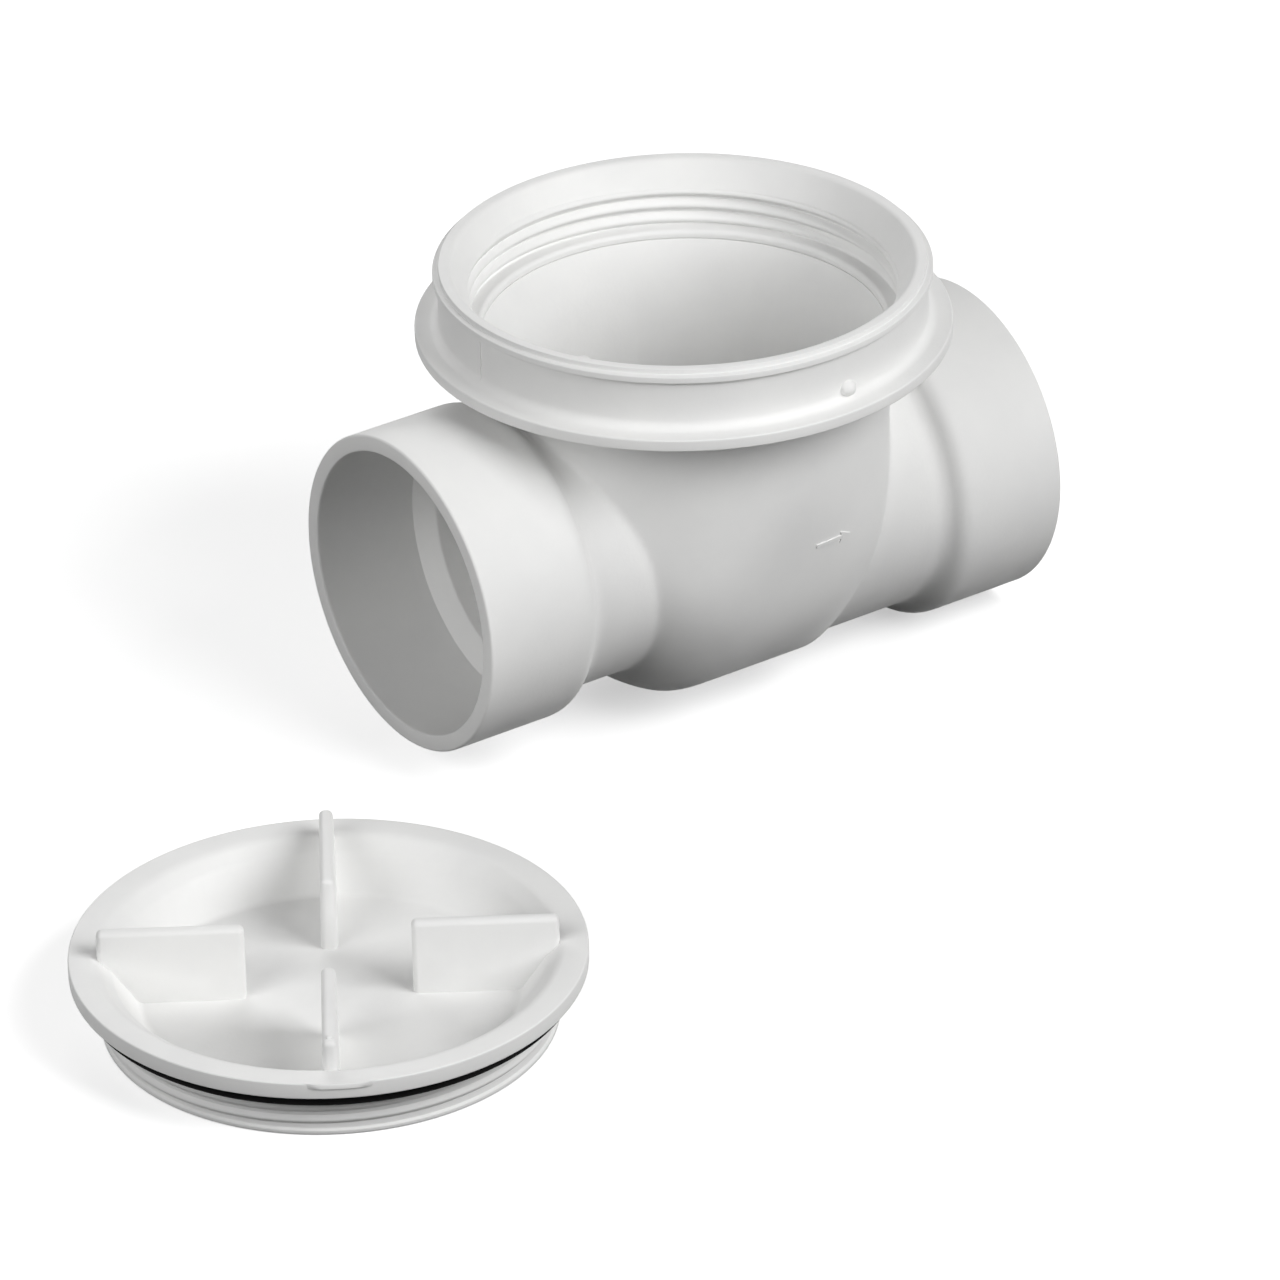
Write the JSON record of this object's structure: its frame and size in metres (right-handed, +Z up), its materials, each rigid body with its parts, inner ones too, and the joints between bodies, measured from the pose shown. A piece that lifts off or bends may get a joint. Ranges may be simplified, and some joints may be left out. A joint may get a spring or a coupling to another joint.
{
  "type": "backwater valve",
  "caption": "Drain backwater valve: socketed inlet and lowered outlet, round chamber with an access collar, hinged flapper on a leaning seat, and a finned screw-in cover laid beside it.",
  "frame": {"origin": "centre of the inlet socket's mouth", "axes": "+X along the flow, out of the outlet; +Z up through the access collar; +Y to the left of the flow"},
  "size_m": [0.462, 0.3153, 0.1704],
  "materials": {
    "pvc": "white moulded plastic with a soft sheen",
    "rubber": "black rubber"
  },
  "bodies": {
    "valve": {"chamber": "pvc", "inlet_neck": "pvc", "outlet_neck": "pvc", "inlet_hub": "pvc", "outlet_hub": "pvc", "access_collar": "pvc", "seat_ring": "pvc", "hinge_pin": "pvc"},
    "flapper": {"flapper_disc": "pvc", "flapper_gasket": "rubber"},
    "cover": {"cover_cap": "pvc", "cover_grips": "pvc", "cover_o_ring": "rubber"}
  },
  "joints": [
    {"name": "flapper_hinge", "type": "hinge", "parent": "valve", "child": "flapper", "pos_m": [0.0904, 0, 0.05861], "axis": [0, -1, 0], "range_deg": [0, 58]},
    {"name": "cover_lift", "type": "slide", "parent": "valve", "child": "cover", "axis": [0, 0, 1], "range_m": [0, 0.25]}
  ]
}
